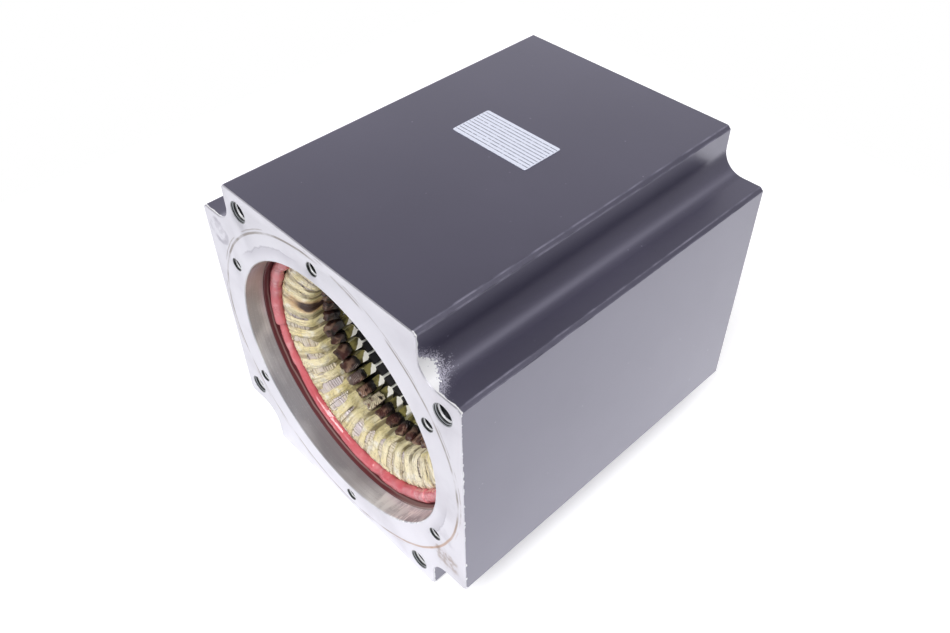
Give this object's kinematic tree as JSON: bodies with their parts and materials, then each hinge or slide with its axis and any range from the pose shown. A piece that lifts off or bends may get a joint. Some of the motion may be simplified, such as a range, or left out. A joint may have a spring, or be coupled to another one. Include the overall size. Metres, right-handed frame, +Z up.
{
  "type": "electric motor stator",
  "caption": "Square notched motor stator housing, open at both ends, with a slotted steel core and a laced three-phase copper winding inside a round bore.",
  "frame": {"origin": "under the middle of the housing, on the flat lower side that it rests on", "axes": "+Z up, the motor axis along Y, the front face with the lead sleeve behind it towards -Y, +X to the right seen from the front"},
  "size_m": [0.2, 0.223, 0.2003],
  "materials": {
    "housing_paint": "satin anthracite paint on aluminium, end faces bare machined aluminium",
    "core_steel": "stacked electrical steel under dark varnish",
    "liner_paper": "pale insulating paper soaked in varnish",
    "coil_wire": "enamelled copper under dark brown varnish",
    "winding_wire": "enamelled copper wire bundles under clear varnish",
    "lacing_tape": "woven cream tape soaked in varnish",
    "red_sleeving": "glossy red silicone sleeving",
    "label_foil": "matt silver foil"
  },
  "bodies": {
    "root": {"coil_sides_u": "coil_wire", "coil_sides_v": "coil_wire", "coil_sides_w": "coil_wire", "core_stack": "core_steel", "front_end_turns_u1": "winding_wire", "front_end_turns_u2": "winding_wire", "front_end_turns_u3": "winding_wire", "front_end_turns_u4": "winding_wire", "front_end_turns_v1": "winding_wire", "front_end_turns_v2": "winding_wire", "front_end_turns_v3": "winding_wire", "front_end_turns_v4": "winding_wire", "front_end_turns_w1": "winding_wire", "front_end_turns_w2": "winding_wire", "front_end_turns_w3": "winding_wire", "front_end_turns_w4": "winding_wire", "front_lacing": "lacing_tape", "housing": "housing_paint", "lead_sleeve": "red_sleeving", "rating_label": "label_foil", "rear_end_turns_u1": "winding_wire", "rear_end_turns_u2": "winding_wire", "rear_end_turns_u3": "winding_wire", "rear_end_turns_u4": "winding_wire", "rear_end_turns_v1": "winding_wire", "rear_end_turns_v2": "winding_wire", "rear_end_turns_v3": "winding_wire", "rear_end_turns_v4": "winding_wire", "rear_end_turns_w1": "winding_wire", "rear_end_turns_w2": "winding_wire", "rear_end_turns_w3": "winding_wire", "rear_end_turns_w4": "winding_wire", "rear_lacing": "lacing_tape", "slot_liners": "liner_paper", "slot_wedges": "liner_paper"}
  },
  "joints": []
}
